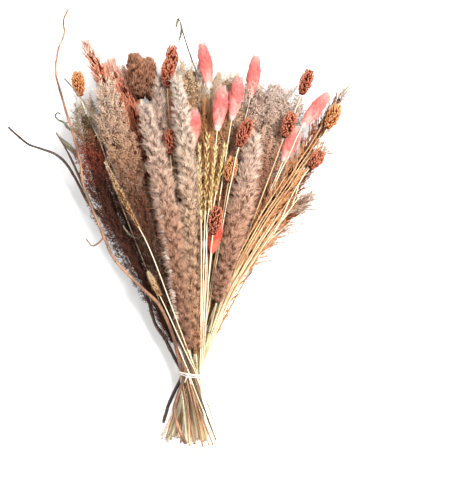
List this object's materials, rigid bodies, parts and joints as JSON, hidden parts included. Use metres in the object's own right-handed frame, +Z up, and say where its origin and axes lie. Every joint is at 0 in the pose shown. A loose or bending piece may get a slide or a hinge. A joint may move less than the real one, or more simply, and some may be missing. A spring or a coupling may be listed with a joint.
{
  "type": "bunch of dried flowers",
  "caption": "Tied bunch of dried grasses, pampas plumes, bunny tails, seed heads and curly willow, lying on its side.",
  "frame": {"origin": "on the surface it lies on, under the middle of its bounding box", "axes": "+Y along the bunch from the cut stem ends to the heads, +Z up from the surface it lies on, +X to the right seen from above"},
  "size_m": [0.3398, 0.4546, 0.0952],
  "materials": {
    "pampas_plume": "soft dry fluff",
    "broom_seed": "fine dry seed haze",
    "salmon_reed": "dry feathery spike",
    "brown_reed": "dry feathery spike",
    "rust_reed": "dry feathery spike",
    "millet_head": "bristly dry head",
    "canary_seed_head": "overlapping dry scales",
    "bunny_tail_fur": "soft dyed fur, paler at the tip",
    "oat_head": "dry husks",
    "foxtail_head": "dry bristles",
    "willow_bark": "dry ridged bark",
    "straw_stem": "dry straw, faint length-wise fibres",
    "dry_leaf": "dry curled leaf",
    "twine": "twisted cotton"
  },
  "bodies": {
    "root": {"pampas_front_left": "pampas_plume", "pampas_front_middle": "pampas_plume", "pampas_behind": "pampas_plume", "pampas_right": "pampas_plume", "pampas_under_left": "pampas_plume", "pampas_under_right": "pampas_plume", "broom_left_outer": "broom_seed", "broom_left_pale": "broom_seed", "broom_left_inner": "broom_seed", "broom_left_under": "broom_seed", "broom_middle": "broom_seed", "broom_middle_right": "broom_seed", "broom_dome_left": "broom_seed", "broom_dome_right": "broom_seed", "broom_under_middle": "broom_seed", "broom_under_right": "broom_seed", "salmon_reed_tall": "salmon_reed", "salmon_reed_middle": "salmon_reed", "salmon_reed_short": "salmon_reed", "brown_reed_column": "brown_reed", "brown_reed_dark": "brown_reed", "brown_reed_back": "brown_reed", "rust_reed_top": "rust_reed", "rust_reed_middle": "rust_reed", "rust_reed_low": "rust_reed", "millet_left": "millet_head", "millet_right": "millet_head", "canary_top_right": "canary_seed_head", "canary_dome": "canary_seed_head", "canary_front": "canary_seed_head", "canary_right": "canary_seed_head", "canary_golden": "canary_seed_head", "canary_low": "canary_seed_head", "canary_left": "canary_seed_head", "canary_stacked": "canary_seed_head", "canary_stacked_back": "canary_seed_head", "canary_deep": "canary_seed_head", "canary_between": "canary_seed_head", "bunny_tail_tall": "bunny_tail_fur", "bunny_tail_front": "bunny_tail_fur", "bunny_tail_middle": "bunny_tail_fur", "bunny_tail_upper": "bunny_tail_fur", "bunny_tail_between": "bunny_tail_fur", "bunny_tail_right": "bunny_tail_fur", "bunny_tail_right_low": "bunny_tail_fur", "bunny_tail_red": "bunny_tail_fur", "bunny_tail_deep": "bunny_tail_fur", "oat_left": "oat_head", "oat_middle": "oat_head", "oat_right": "oat_head", "oat_far_right": "oat_head", "foxtail_upper": "foxtail_head", "foxtail_lower": "foxtail_head", "willow_top": "willow_bark", "willow_upper_left": "willow_bark", "willow_orange": "willow_bark", "willow_dark": "willow_bark", "twine_tie": "twine"}
  },
  "joints": []
}
